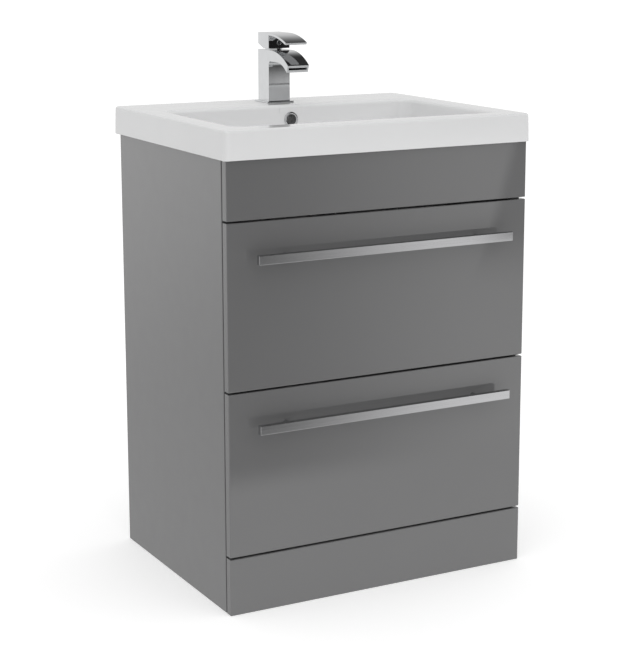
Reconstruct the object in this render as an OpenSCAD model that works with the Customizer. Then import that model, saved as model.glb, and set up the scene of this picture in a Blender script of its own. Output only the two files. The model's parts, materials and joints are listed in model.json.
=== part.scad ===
// Floor-standing bathroom vanity cabinet with two drawers, an inset basin and a mixer tap.
// Origin: middle of the overall footprint, on the floor. +X right, +Y towards the wall, +Z up.

/* [Cabinet] */
// Width over the side panels
cabinet_w = 600; // [560:10:700]
// Depth from the front faces to the back edges of the side panels
cabinet_d = 461; // [450:1:480]
// Height of the cabinet without the basin
cabinet_h = 794; // [780:1:820]
// Thickness of the carcass panels
panel_t = 18; // [16:1:18]
// Thickness of the drawer fronts, the fascia and the plinth
front_t = 16; // [15:1:18]
// Gap between the back of the fronts and the side panels
front_gap = 3; // [2:0.5:4]
// Gap between one front and the next
reveal = 3.5; // [2:0.5:5]
// Height of the plinth panel
plinth_h = 102; // [90:1:120]
// Height of each drawer front
drawer_front_h = 290; // [280:1:300]

/* [Drawers] */
// Thickness of the drawer box sides and back
box_t = 15; // [12:1:16]
// Thickness of the drawer base
box_base_t = 12; // [8:1:16]
// Depth of the drawer boxes behind the front
box_d = 400; // [380:10:400]
// Height of the lower drawer box
lower_box_h = 190; // [150:5:200]
// Height of the upper drawer box
upper_box_h = 150; // [120:5:160]
// Width of the cut-out that clears the waste trap
trap_gap_w = 130; // [110:5:160]
// Height of the boards round the cut-out
surround_h = 130; // [100:5:140]

/* [Runners] */
// Space that a runner takes on each side of a drawer box
runner_space = 12.7; // [12.5:0.1:13]
// Height of the cabinet member
runner_h = 45; // [45:1:46]
// Steel thickness of the runner members
runner_t = 1.2; // [1:0.1:1.2]

/* [Handles] */
// Length of the handle bar
handle_l = 508; // [400:4:520]
// Height of the handle bar
handle_h = 16; // [12:1:20]
// Depth of the handle bar
handle_t = 10; // [8:1:12]
// Distance from the drawer front to the face of the bar
handle_reach = 30; // [28:1:35]
// Distance between the two posts
post_spacing = 384; // [320:32:384]
// Radius of a post
post_r = 5; // [4:0.5:6]
// Distance from the top of a drawer front to the top of its bar
handle_drop = 53; // [45:1:60]

/* [Basin] */
// Width of the basin
basin_w = 610; // [570:10:710]
// Distance that the basin stands out past the front faces
basin_front = 6; // [2:1:8]
// Distance that the basin stands out past the back edges of the cabinet
basin_back = 19; // [12:1:25]
// Height of the basin rim above the cabinet
rim_h = 51; // [48:1:60]
// Width of the bowl at the rim
bowl_w = 520; // [480:5:520]
// Width of the rim in front of the bowl
rim_front = 48; // [46:1:50]
// Front to back size of the bowl at the rim
bowl_d = 306; // [290:2:306]
// Depth of the bowl below the rim
bowl_depth = 123; // [115:1:125]
// Thickness of the ceramic
ceramic_t = 10; // [9:1:10]

/* [Tap] */
// Width and depth of the tap column
tap_w = 45; // [44:1:48]
// Height of the top of the column above the basin
tap_h = 100; // [97:1:108]
// Size of the square base plate
tap_plate_w = 56; // [52:1:60]
// Thickness of the base plate
tap_plate_t = 2.5; // [2:0.5:4]
// Reach of the spout in front of the column
spout_reach = 79; // [76:1:84]
// Width of the spout's outlet slot
outlet_w = 38; // [30:1:40]
// Height of the spout's outlet slot
outlet_h = 4; // [3:0.5:5]
// Reach of the lever in front of the column
lever_reach = 71; // [65:1:76]

/* [Waste] */
// Outer radius of the waste tail and its thread
waste_r = 21; // [20:0.5:21]
// Outer radius of the trap's outlet pipe
outlet_r = 16; // [16:1:20]
// Height of the trap's outlet above the floor
outlet_z = 600; // [600:1:606]

/* [Hidden] */
$fn = 64;
soft_fn = 32;
cut = 1;
total_d = handle_reach + cabinet_d + basin_back;
front_y = handle_reach - total_d / 2;
fronts_back_y = front_y + front_t;
carcass_front_y = fronts_back_y + front_gap;
back_y = front_y + cabinet_d;
wall_y = total_d / 2;
inner_x = cabinet_w / 2 - panel_t;
fascia_z = plinth_h + 2 * drawer_front_h + 3 * reveal;
base_top_z = plinth_h + panel_t;

box_x = inner_x - runner_space;
box_back_y = fronts_back_y + box_d;
box_lift = 20;
lower_back_drop = 15;
runner_lift = 45;
runner_start = 4;
cabinet_member_w = 9.5;
ball_space = 1.7;
middle_member_reach = 10;
middle_member_in = 4.8;
drawer_member_w = 7.5;
drawer_member_in = 8.8;
handle_screw_r = 2;
handle_screw_in = 12;
handle_screw_head_r = 4;
handle_screw_head_t = 2.6;
bumper_r = 4;
bumper_inset = 14;

grey = [0.47, 0.47, 0.475];
board_grey = [0.55, 0.55, 0.56];
steel = [0.75, 0.76, 0.78];
chrome = [0.85, 0.87, 0.9];
white = [0.95, 0.95, 0.95];
dark_grey = [0.3, 0.32, 0.35];
black = [0.1, 0.1, 0.1];
brass = [0.8, 0.65, 0.35];

rim_z = cabinet_h + rim_h;
basin_front_y = front_y - basin_front;
skirt_t = 18;
ledge_t = 12;
bowl_front_y = basin_front_y + rim_front;
bowl_mid_y = bowl_front_y + bowl_d / 2;
bowl_back_y = bowl_front_y + bowl_d;
bowl_floor_z = rim_z - bowl_depth;
bowl_bend_z = bowl_floor_z + 14;
bowl_side_in = 15;
end_steeper = 4;
bowl_top_r = 22;
bowl_bend_r = 30;
bowl_floor_r = 40;
rim_corner_r = 8;
waste_y = bowl_mid_y + 20;
waste_hole_r = waste_r + 2;
stem_r = 4;
guide_h = 6;
guide_drop = 18;
slot_w = 14;
slot_h = 10;
nut_flat_r = 31;
waste_seal_t = 4;
waste_nut_t = 10;
flange_r = 32;
flange_t = 3;
boss_r = 38;
boss_bottom_z = bowl_floor_z - 25;
overflow_z = rim_z - 28;
overflow_r = 10.5;
wall_slope = (bowl_side_in - end_steeper) / (rim_z - bowl_bend_z);
overflow_y = bowl_back_y - wall_slope * (rim_z - overflow_z);
channel_y = bowl_back_y + ceramic_t;
channel_d = 10;
channel_x = 14;
duct_x = 8;
gap_front_y = waste_y - 75;

tap_y = wall_y - 64.5;
tap_bottom_z = rim_z + tap_plate_t;
tap_top_z = rim_z + tap_h;
column_front_y = tap_y - tap_w / 2;
column_back_y = tap_y + tap_w / 2;
spout_tip_y = column_front_y - spout_reach;
tap_hole_r = 17.5;
plate_hole_r = 15.5;
outlet_tilt = 21;
outlet_in = 2.4;
outlet_drop = 31.2;
outlet_start = -6;
outlet_l = 22;
spout_t = 21;
spout_drop = 24.7;
spout_crest_in = 8;
arch_drop = 16.8;
arch_crest_in = 33;
tip_l = 5;
throat_r = 6;
tail_x = 8;
tail_y = tap_y + 4;
tail_r = 4.5;
tail_in = 16;
stud_y = tap_y - 8;
stud_r = 4;
stud_in = 13;
stud_l = 75;
washer_r = 24;
washer_t = 3;
washer_gap_x = 14;
fixing_nut_r = 7.5;
fixing_nut_t = 8;
cartridge_r = 16;
cartridge_h = 38;
nut_in = 4;
neck_h = 2.4;
spindle_r = 9;
spindle_in = 17;
tongue_w = 10;
pivot_z = tap_top_z + 7;
lever_top_z = tap_top_z + 32;
lever_bottom_z = tap_top_z + 3;
lever_back_h = 8;
lever_drop = 14.8;
lever_blade_t = 4.5;
lever_hollow_w = 11;
lever_hollow_d = 18;
indicator_z = lever_bottom_z + 10.5;
indicator_r = 4.5;
indicator_t = 0.4;
pin_r = 2;
pin_l = 24;
running_gap = 0.05;
loose_gap = 0.3;

trap_nut_r = 27;
tail_bottom_z = outlet_z + 36;
trap_top_z = outlet_z + 32;
trap_r = 26;
cup_r = 31;
cup_top_z = outlet_z - 24;
cup_bottom_z = outlet_z - 100;
wall_t = 3;
inlet_nut_h = 22;
outlet_nut_l = 18;
branch_l = 44;
pipe_y = waste_y + branch_l + 0.2;
spigot_h = 20;
dip_r = 18;
dip_lift = 24;

screw_r = 1.9;
long_screw_l = 26;
short_screw_l = 13;
screw_head_r = 4;
screw_head_t = 2.5;
bracket_t = 2;
wall_bracket_z = 550;
wall_bracket_h = 40;
wall_bracket_w = 40;
wall_bracket_d = 50;
wall_hole_x = inner_x - 24;
wall_hole_r = 3;
plinth_bracket_x = 200;
plinth_bracket_w = 40;
plinth_bracket_h = 60;
plinth_bracket_d = 50;

cam_r = 7.5;
cam_h = 12;
cam_inset = 34;
cam_bolt_r = 3.5;
cam_bolt_in = 11;
front_rail_h = 88;
rear_rail_h = 200;
pipe_notch_gap = 4;
lower_rail_h = 285;
rail_top_z = cabinet_h - 2;
lower_rail_top_z = base_top_z + lower_rail_h;
fascia_screw_h = 80;

// Each carcass joint: [y, z, way the cam faces]
cam_spots = [
    [-150, plinth_h + panel_t / 2, "down"],
    [150, plinth_h + panel_t / 2, "down"],
    [fronts_back_y + panel_t / 2, rail_top_z - front_rail_h / 2, "back"],
    [back_y - panel_t / 2, rail_top_z - rear_rail_h / 2, "front"],
    [back_y - panel_t / 2, lower_rail_top_z - lower_rail_h / 2, "front"]
];

// Each panel screw: [head position, rotation that turns +Z towards the screw's tip, length]
screw_spots = concat(
    [for (x = [-230, -80, 80, 230])
        [[x, fronts_back_y + panel_t, fascia_z + fascia_screw_h], [90, 0, 0], long_screw_l]],
    [for (x = [-1, 1])
        [[x * plinth_bracket_x, fronts_back_y + bracket_t, plinth_h - 40], [90, 0, 0], short_screw_l]],
    [for (x = [-1, 1])
        [[x * plinth_bracket_x, fronts_back_y + 30, plinth_h - bracket_t], [0, 0, 0], short_screw_l]],
    [for (x = [-1, 1], y = [back_y - 34, back_y - 14])
        [[x * (inner_x - bracket_t), y, wall_bracket_z], [0, x * 90, 0], short_screw_l]]
);

// ---- helpers ----

function front_z(level) = plinth_h + reveal + level * (drawer_front_h + reveal);
function box_z(level) = front_z(level) + box_lift;
function runner_z(level) = box_z(level) + runner_lift;
function handle_z(level) = front_z(level) + drawer_front_h - handle_drop - handle_h / 2;
function arc(centre, r, from, to, steps) =
    [for (i = [0:steps]) let (a = from + (to - from) * i / steps) centre + r * [cos(a), sin(a)]];

// A box given by its lowest and highest corners
module block(low, high) {
    translate(low) cube(high - low);
}

// The same shape on both sides of the middle plane
module both_sides() {
    children();
    mirror([1, 0, 0]) children();
}

// A round bar along Y, starting at y
module bar_y(x, y, z, r, l) {
    translate([x, y, z]) rotate([-90, 0, 0]) cylinder(r = r, h = l);
}

// A round bar along X, starting at x
module bar_x(x, y, z, r, l) {
    translate([x, y, z]) rotate([0, 90, 0]) cylinder(r = r, h = l);
}

// A slab with round corners seen from above, centred on [0, y]
module slab(w, d, r, y, z, h) {
    translate([0, y, z]) {
        translate([-w / 2 + r, -d / 2, 0]) cube([w - 2 * r, d, h]);
        translate([-w / 2, -d / 2 + r, 0]) cube([w, d - 2 * r, h]);
        for (sx = [-1, 1], sy = [-1, 1])
            translate([sx * (w / 2 - r), sy * (d / 2 - r), 0]) cylinder(r = r, h = h);
    }
}

// A profile drawn in the YZ plane, made w wide about the middle plane
module across(w) {
    translate([-w / 2, 0, 0]) rotate([90, 0, 90]) linear_extrude(w) children();
}

// The shanks of the panel screws, made larger by extra for their pilot holes
module screw_shanks(extra) {
    for (spot = screw_spots)
        translate(spot[0]) rotate(spot[1]) cylinder(r = screw_r + extra, h = spot[2] + extra);
}

// ---- carcass ----

module cam_bolt_holes() {
    for (spot = cam_spots)
        both_sides() bar_x(inner_x - cam_inset, spot[0], spot[1], cam_bolt_r + 0.1,
                           cam_inset + cam_bolt_in + 0.2);
}

// The round of each cam, made larger by extra for its pocket
module cam_discs(extra) {
    x = inner_x - cam_inset;
    for (spot = cam_spots) both_sides() {
        if (spot[2] == "down")
            translate([x, spot[0], plinth_h - extra])
                cylinder(r = cam_r + extra, h = cam_h + 2 * extra);
        if (spot[2] == "back")
            bar_y(x, fronts_back_y + panel_t - cam_h - extra, spot[1], cam_r + extra, cam_h + 2 * extra);
        if (spot[2] == "front")
            bar_y(x, back_y - panel_t - extra, spot[1], cam_r + extra, cam_h + 2 * extra);
    }
}

module carcass_board(low, high) {
    difference() {
        block(low, high);
        cam_bolt_holes();
        cam_discs(0.1);
        screw_shanks(0.1);
    }
}

module side_panel_right() {
    color(grey) carcass_board([inner_x, carcass_front_y, 0], [cabinet_w / 2, back_y, cabinet_h]);
}

module side_panel_left() {
    color(grey) carcass_board([-cabinet_w / 2, carcass_front_y, 0], [-inner_x, back_y, cabinet_h]);
}

module base_panel() {
    color(board_grey) carcass_board([-inner_x, carcass_front_y, plinth_h], [inner_x, back_y, base_top_z]);
}

module front_rail() {
    color(board_grey) carcass_board([-inner_x, fronts_back_y, rail_top_z - front_rail_h],
                                    [inner_x, fronts_back_y + panel_t, rail_top_z]);
}

// The deep top rail, with a notch that the outlet pipe passes through
module rear_top_rail() {
    bottom_z = rail_top_z - rear_rail_h;
    notch_r = outlet_r + pipe_notch_gap;
    color(board_grey) difference() {
        carcass_board([-inner_x, back_y - panel_t, bottom_z], [inner_x, back_y, rail_top_z]);
        bar_y(0, back_y - panel_t - cut, outlet_z, notch_r, panel_t + 2 * cut);
        block([-notch_r, back_y - panel_t - cut, bottom_z - cut], [notch_r, back_y + cut, outlet_z]);
    }
}

module rear_lower_rail() {
    color(board_grey) carcass_board([-inner_x, back_y - panel_t, base_top_z],
                                    [inner_x, back_y, lower_rail_top_z]);
}

module fascia_panel() {
    color(grey) difference() {
        block([-cabinet_w / 2, front_y, fascia_z], [cabinet_w / 2, fronts_back_y, cabinet_h]);
        screw_shanks(0.1);
    }
}

module plinth_panel() {
    color(grey) difference() {
        block([-cabinet_w / 2, front_y, 0], [cabinet_w / 2, fronts_back_y, plinth_h]);
        screw_shanks(0.1);
    }
}

module plinth_brackets() {
    x = plinth_bracket_x - plinth_bracket_w / 2;
    color(steel) difference() {
        both_sides() {
            block([x, fronts_back_y, plinth_h - plinth_bracket_h],
                  [x + plinth_bracket_w, fronts_back_y + bracket_t, plinth_h]);
            block([x, fronts_back_y, plinth_h - bracket_t],
                  [x + plinth_bracket_w, fronts_back_y + plinth_bracket_d, plinth_h]);
        }
        screw_shanks(0.1);
    }
}

module wall_brackets() {
    z0 = wall_bracket_z - wall_bracket_h / 2;
    z1 = wall_bracket_z + wall_bracket_h / 2;
    color(steel) difference() {
        both_sides() {
            block([inner_x - bracket_t, back_y - wall_bracket_d, z0], [inner_x, wall_y, z1]);
            difference() {
                block([inner_x - wall_bracket_w, wall_y - bracket_t, z0], [inner_x, wall_y, z1]);
                bar_y(wall_hole_x, wall_y - bracket_t - cut, wall_bracket_z, wall_hole_r,
                      bracket_t + 2 * cut);
            }
        }
        screw_shanks(0.1);
    }
}

module cam_locks() {
    color(steel) cam_discs(0);
}

module cam_bolts() {
    start = inner_x - cam_inset + cam_r + 0.5;
    color(steel) for (spot = cam_spots)
        both_sides() bar_x(start, spot[0], spot[1], cam_bolt_r, inner_x + cam_bolt_in - start);
}

module panel_screws() {
    color(steel) {
        screw_shanks(0);
        for (spot = screw_spots)
            translate(spot[0]) rotate(spot[1])
                translate([0, 0, -screw_head_t]) cylinder(r = screw_head_r, h = screw_head_t);
    }
}

// ---- drawers ----

module drawer_front(level) {
    color(grey) difference() {
        block([-cabinet_w / 2, front_y, front_z(level)],
              [cabinet_w / 2, fronts_back_y, front_z(level) + drawer_front_h]);
        for (x = [-1, 1])
            bar_y(x * post_spacing / 2, front_y - cut, handle_z(level), handle_screw_r + loose_gap,
                  front_t + 2 * cut);
    }
}

module drawer_side(level, side, h) {
    low_x = side > 0 ? box_x - box_t : -box_x;
    color(board_grey) block([low_x, fronts_back_y, box_z(level)],
                            [low_x + box_t, box_back_y, box_z(level) + h]);
}

// The board that closes the bottom of a drawer box, before any cut-out
module drawer_floor(level) {
    block([-box_x + box_t, fronts_back_y, box_z(level)],
          [box_x - box_t, box_back_y - box_t, box_z(level) + box_base_t]);
}

module drawer_rear(level, h) {
    block([-box_x + box_t, box_back_y - box_t, box_z(level)],
          [box_x - box_t, box_back_y, box_z(level) + h]);
}

module trap_gap(extra) {
    block([-trap_gap_w / 2 - extra, gap_front_y - extra, box_z(1) - cut],
          [trap_gap_w / 2 + extra, box_back_y + cut, box_z(1) + upper_box_h + cut]);
}

module upper_trap_surround() {
    top = box_z(1) + box_base_t + surround_h;
    color(board_grey) difference() {
        block([-trap_gap_w / 2 - box_base_t, gap_front_y - box_base_t, box_z(1) + box_base_t],
              [trap_gap_w / 2 + box_base_t, box_back_y, top]);
        trap_gap(0);
    }
}

module handle_bar(level) {
    color(steel) block([-handle_l / 2, front_y - handle_reach, handle_z(level) - handle_h / 2],
                       [handle_l / 2, front_y - handle_reach + handle_t, handle_z(level) + handle_h / 2]);
}

module handle_posts(level) {
    post_l = handle_reach - handle_t;
    color(steel) for (x = [-1, 1]) difference() {
        bar_y(x * post_spacing / 2, front_y - post_l, handle_z(level), post_r, post_l);
        bar_y(x * post_spacing / 2, front_y - handle_screw_in - 2, handle_z(level), handle_screw_r + 0.1,
              handle_screw_in + 2 + cut);
    }
}

module handle_screws(level) {
    color(steel) for (x = [-1, 1]) {
        bar_y(x * post_spacing / 2, front_y - handle_screw_in, handle_z(level), handle_screw_r,
              front_t + handle_screw_in);
        bar_y(x * post_spacing / 2, fronts_back_y, handle_z(level), handle_screw_head_r,
              handle_screw_head_t);
    }
}

module bumpers(level) {
    color(white) for (x = [-1, 1], z = [bumper_inset, drawer_front_h - bumper_inset])
        bar_y(x * (cabinet_w - panel_t) / 2, fronts_back_y, front_z(level) + z, bumper_r, front_gap - 0.2);
}

// One runner member: a steel channel with its web at web_x and flanges that reach to edge_x
module runner_channel(level, web_x, edge_x, half_h) {
    z = runner_z(level);
    way = edge_x > web_x ? 1 : -1;
    low_x = min(web_x, edge_x);
    high_x = max(web_x, edge_x);
    y0 = carcass_front_y + runner_start;
    y1 = box_back_y;
    both_sides() {
        block([min(web_x, web_x + way * runner_t), y0, z - half_h],
              [max(web_x, web_x + way * runner_t), y1, z + half_h]);
        for (flange_z = [z - half_h, z + half_h - runner_t])
            block([low_x, y0, flange_z], [high_x, y1, flange_z + runner_t]);
    }
}

module runner_cabinet_members(level) {
    color(steel) runner_channel(level, inner_x, inner_x - cabinet_member_w, runner_h / 2);
}

module runner_middle_members(level) {
    web_x = inner_x - runner_t - ball_space;
    color(steel) runner_channel(level, web_x, inner_x - middle_member_reach, runner_h / 2 - middle_member_in);
}

module runner_drawer_members(level) {
    color(steel) runner_channel(level, box_x, box_x + drawer_member_w, runner_h / 2 - drawer_member_in);
}

module upper_drawer_front() { drawer_front(1); }
module upper_drawer_side_left() { drawer_side(1, -1, upper_box_h); }
module upper_drawer_side_right() { drawer_side(1, 1, upper_box_h); }
module upper_drawer_base() {
    color(board_grey) difference() {
        drawer_floor(1);
        trap_gap(0);
    }
}
module upper_drawer_back() {
    color(board_grey) difference() {
        drawer_rear(1, box_base_t + surround_h);
        trap_gap(box_base_t);
    }
}
module upper_handle_bar() { handle_bar(1); }
module upper_handle_posts() { handle_posts(1); }
module upper_handle_screws() { handle_screws(1); }
module upper_bumpers() { bumpers(1); }
module upper_runner_cabinet_members() { runner_cabinet_members(1); }
module upper_runner_middle_members() { runner_middle_members(1); }
module upper_runner_drawer_members() { runner_drawer_members(1); }

module lower_drawer_front() { drawer_front(0); }
module lower_drawer_side_left() { drawer_side(0, -1, lower_box_h); }
module lower_drawer_side_right() { drawer_side(0, 1, lower_box_h); }
module lower_drawer_base() { color(board_grey) drawer_floor(0); }
module lower_drawer_back() { color(board_grey) drawer_rear(0, lower_box_h - lower_back_drop); }
module lower_handle_bar() { handle_bar(0); }
module lower_handle_posts() { handle_posts(0); }
module lower_handle_screws() { handle_screws(0); }
module lower_bumpers() { bumpers(0); }
module lower_runner_cabinet_members() { runner_cabinet_members(0); }
module lower_runner_middle_members() { runner_middle_members(0); }
module lower_runner_drawer_members() { runner_drawer_members(0); }

// ---- basin ----

// One level of the bowl, side_in and end_in further in than the rim on each side
module bowl_level(extra, side_in, end_in, r, z) {
    slab(bowl_w - 2 * side_in + 2 * extra, bowl_d - 2 * end_in + 2 * extra, r + extra, bowl_mid_y, z, cut);
}

// The sloping inside of the bowl, or its outside when extra is the ceramic's thickness
module bowl_shape(extra, top_z) {
    $fn = soft_fn;
    hull() {
        bowl_level(extra, 0, 0, bowl_top_r, top_z - cut);
        bowl_level(extra, bowl_side_in, bowl_side_in - end_steeper, bowl_bend_r, bowl_bend_z - extra);
    }
    hull() {
        bowl_level(extra, bowl_side_in, bowl_side_in - end_steeper, bowl_bend_r, bowl_bend_z - extra);
        bowl_level(extra, 2 * bowl_side_in, 2 * bowl_side_in - end_steeper, bowl_floor_r,
                   bowl_floor_z + 3 - extra);
    }
}

// Moves a shape drawn along +Z onto the bowl's back wall, pointing out of it
module at_overflow() {
    translate([0, overflow_y, overflow_z]) rotate([90 - atan(wall_slope), 0, 0]) children();
}

module basin() {
    depth = wall_y - basin_front_y;
    mid_y = (wall_y + basin_front_y) / 2;
    color(white) difference() {
        union() {
            difference() {
                slab(basin_w, depth, rim_corner_r, mid_y, cabinet_h, rim_h);
                translate([0, 0, -cut])
                    slab(basin_w - 2 * skirt_t, depth - 2 * skirt_t, rim_corner_r, mid_y, cabinet_h,
                         rim_h - ledge_t + cut);
            }
            bowl_shape(ceramic_t, rim_z - cut);
            translate([0, waste_y, boss_bottom_z]) cylinder(r = boss_r, h = bowl_floor_z - boss_bottom_z);
            block([-channel_x - ceramic_t, bowl_back_y - 20, boss_bottom_z],
                  [channel_x + ceramic_t, channel_y + channel_d + 8, rim_z - cut]);
            block([-duct_x - ceramic_t, waste_y, boss_bottom_z],
                  [duct_x + ceramic_t, channel_y + channel_d + 8, bowl_floor_z]);
        }
        bowl_shape(0, rim_z + 2 * cut);
        translate([0, waste_y, boss_bottom_z - cut])
            cylinder(r = waste_hole_r, h = bowl_depth);
        translate([0, waste_y, bowl_floor_z]) cylinder(r = flange_r + 1, h = bowl_depth / 2);
        translate([0, tap_y, rim_z - ledge_t - cut]) cylinder(r = tap_hole_r, h = ledge_t + 2 * cut);
        at_overflow() translate([0, 0, -14]) cylinder(r = overflow_r, h = 24);
        block([-channel_x, channel_y, boss_bottom_z + 6],
              [channel_x, channel_y + channel_d, overflow_z + 12]);
        block([-duct_x, waste_y, boss_bottom_z + 6], [duct_x, channel_y + cut, boss_bottom_z + 14]);
    }
}

module overflow_ring() {
    color(chrome) at_overflow() rotate_extrude()
        polygon([[9.8, -12], [10.4, -12], [10.4, 0.6], [14, 0.6], [14.5, 1.4], [14, 2.4], [12.4, 3.2],
                 [10.6, 2.6], [9.8, 1.6]]);
}

module waste_body() {
    slot_z = boss_bottom_z + 4;
    guide_z = boss_bottom_z - guide_drop;
    color(chrome) translate([0, waste_y, 0]) difference() {
        union() {
            difference() {
                union() {
                    translate([0, 0, bowl_floor_z]) cylinder(r = flange_r, h = flange_t);
                    translate([0, 0, tail_bottom_z]) cylinder(r = waste_r, h = bowl_floor_z - tail_bottom_z);
                }
                translate([0, 0, tail_bottom_z - cut]) cylinder(r = waste_r - wall_t, h = bowl_depth);
            }
            for (turn = [0, 90]) rotate(turn)
                block([-waste_r + cut, -2, guide_z], [waste_r - cut, 2, guide_z + guide_h]);
            translate([0, 0, guide_z]) cylinder(r = 2 * stem_r, h = guide_h);
        }
        for (turn = [45, 135]) rotate(turn)
            block([-waste_r - cut, -slot_w / 2, slot_z], [waste_r + cut, slot_w / 2, slot_z + slot_h]);
        translate([0, 0, guide_z - cut]) cylinder(r = stem_r + running_gap, h = guide_h + 2 * cut);
    }
}

module waste_plug() {
    seat_z = bowl_floor_z + flange_t + 0.3;
    color(chrome) translate([0, waste_y, 0]) {
        translate([0, 0, seat_z]) rotate_extrude()
            polygon([[0, 0], [27, 0], [28, 1], [28, 2], [26, 3.2], [18, 4.4], [8, 5], [0, 5]]);
        translate([0, 0, boss_bottom_z - 20]) cylinder(r = stem_r, h = seat_z - boss_bottom_z + 21);
    }
}

module waste_seal() {
    color(black) translate([0, waste_y, boss_bottom_z - waste_seal_t]) difference() {
        cylinder(r = nut_flat_r, h = waste_seal_t);
        translate([0, 0, -cut]) cylinder(r = waste_r + 0.1, h = waste_seal_t + 2 * cut);
    }
}

module waste_nut() {
    color(brass) translate([0, waste_y, boss_bottom_z - waste_seal_t - waste_nut_t]) difference() {
        cylinder(r = nut_flat_r, h = waste_nut_t, $fn = 6);
        translate([0, 0, -cut]) cylinder(r = waste_r + 0.1, h = waste_nut_t + 2 * cut);
    }
}

module trap_nuts() {
    color(white) {
        translate([0, waste_y, trap_top_z + 0.2]) difference() {
            cylinder(r = trap_nut_r, h = inlet_nut_h);
            translate([0, 0, -cut]) cylinder(r = waste_r + 0.2, h = inlet_nut_h + 2 * cut);
        }
        difference() {
            bar_y(0, pipe_y, outlet_z, outlet_r + 7, outlet_nut_l);
            bar_y(0, pipe_y - cut, outlet_z, outlet_r + 0.2, outlet_nut_l + 2 * cut);
        }
    }
}

module trap_body() {
    body_h = trap_top_z - cup_top_z + spigot_h;
    color(white) difference() {
        union() {
            translate([0, waste_y, cup_top_z - spigot_h]) cylinder(r = trap_r, h = body_h);
            bar_y(0, waste_y, outlet_z, outlet_r + 4, branch_l);
        }
        translate([0, waste_y, cup_top_z - spigot_h - cut])
            cylinder(r = trap_r - wall_t, h = body_h - wall_t);
        translate([0, waste_y, trap_top_z - 2 * wall_t]) cylinder(r = dip_r - 2, h = 3 * wall_t);
        bar_y(0, waste_y, outlet_z, outlet_r - 2, branch_l + cut);
    }
    color(white) translate([0, waste_y, cup_bottom_z + dip_lift]) difference() {
        cylinder(r = dip_r, h = trap_top_z - wall_t / 2 - cup_bottom_z - dip_lift);
        translate([0, 0, -cut]) cylinder(r = dip_r - 2, h = trap_top_z - cup_bottom_z);
    }
}

module trap_cup() {
    color(white) translate([0, waste_y, 0]) rotate_extrude() polygon([
        [0, cup_bottom_z], [cup_r - 8, cup_bottom_z], [cup_r, cup_bottom_z + 8], [cup_r, cup_top_z],
        [trap_r + 0.2, cup_top_z], [trap_r + 0.2, cup_bottom_z + 12], [cup_r - 11, cup_bottom_z + wall_t],
        [0, cup_bottom_z + wall_t]
    ]);
}

module trap_outlet_pipe() {
    free_start = pipe_y + outlet_nut_l + 0.2;
    color(white) difference() {
        union() {
            bar_y(0, pipe_y, outlet_z, outlet_r - 0.2, free_start - pipe_y);
            bar_y(0, free_start, outlet_z, outlet_r, wall_y - free_start);
        }
        bar_y(0, pipe_y - cut, outlet_z, outlet_r - 2, wall_y - pipe_y + 2 * cut);
    }
}

// ---- tap ----

module tap_base_plate() {
    color(chrome) difference() {
        translate([0, 0, rim_z]) block([-tap_plate_w / 2, tap_y - tap_plate_w / 2, 0],
                                       [tap_plate_w / 2, tap_y + tap_plate_w / 2, tap_plate_t]);
        translate([0, tap_y, rim_z - cut]) cylinder(r = plate_hole_r, h = tap_plate_t + 2 * cut);
    }
}

// Side outline of the column and spout, in the YZ plane
module tap_outline() {
    crest_y = column_front_y - spout_crest_in;
    run = crest_y - spout_tip_y;
    top_r = (run * run + spout_drop * spout_drop) / (2 * spout_drop);
    top_end = asin(run / top_r);
    under_z = tap_top_z - spout_t;
    under_y = column_front_y - arch_crest_in;
    under_run = under_y - spout_tip_y - tip_l;
    under_r = (under_run * under_run + arch_drop * arch_drop) / (2 * arch_drop);
    under_end = asin(under_run / under_r);
    polygon(concat(
        [[column_back_y, tap_bottom_z], [column_back_y, tap_top_z]],
        arc([crest_y, tap_top_z - top_r], top_r, 90, 90 + top_end, 20),
        arc([under_y, under_z - under_r], under_r, 90 + under_end, 90, 14),
        arc([column_front_y - throat_r, under_z - throat_r], throat_r, 90, 0, 6),
        [[column_front_y, tap_bottom_z]]
    ));
}

module tap_body() {
    color(chrome) difference() {
        across(tap_w) tap_outline();
        translate([0, tap_y, tap_top_z - cartridge_h])
            cylinder(r = cartridge_r + 0.1, h = cartridge_h + cut);
        translate([-outlet_w / 2, spout_tip_y + outlet_in, tap_top_z - outlet_drop])
            rotate([outlet_tilt - 90, 0, 0])
                translate([0, -outlet_h / 2, outlet_start]) cube([outlet_w, outlet_h, outlet_l]);
        for (x = [-tail_x, tail_x])
            translate([x, tail_y, tap_bottom_z - cut]) cylinder(r = tail_r, h = tail_in + cut);
        translate([0, stud_y, tap_bottom_z - cut]) cylinder(r = stud_r + 0.1, h = stud_in + 2 * cut);
    }
}

module tap_cartridge() {
    color(dark_grey) translate([0, tap_y, tap_top_z - cartridge_h]) difference() {
        cylinder(r = cartridge_r, h = cartridge_h - nut_in);
        translate([0, 0, cartridge_h - spindle_in - 1])
            cylinder(r = spindle_r + running_gap, h = spindle_in + 1);
    }
}

module tap_cartridge_nut() {
    color(chrome) translate([0, tap_y, tap_top_z - nut_in]) difference() {
        cylinder(r = cartridge_r, h = nut_in + neck_h);
        translate([0, 0, -cut]) cylinder(r = spindle_r + loose_gap, h = nut_in + neck_h + 2 * cut);
    }
}

module tap_spindle() {
    color(brass) difference() {
        union() {
            translate([0, tap_y, tap_top_z - spindle_in]) cylinder(r = spindle_r, h = spindle_in + 1);
            translate([-tongue_w / 2, tap_y - tongue_w / 2, tap_top_z - cut])
                cube([tongue_w, tongue_w, pivot_z - tap_top_z + cut]);
            bar_x(-tongue_w / 2, tap_y, pivot_z, tongue_w / 2, tongue_w);
        }
        bar_x(-tongue_w / 2 - cut, tap_y, pivot_z, pin_r + running_gap, tongue_w + 2 * cut);
    }
}

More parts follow.
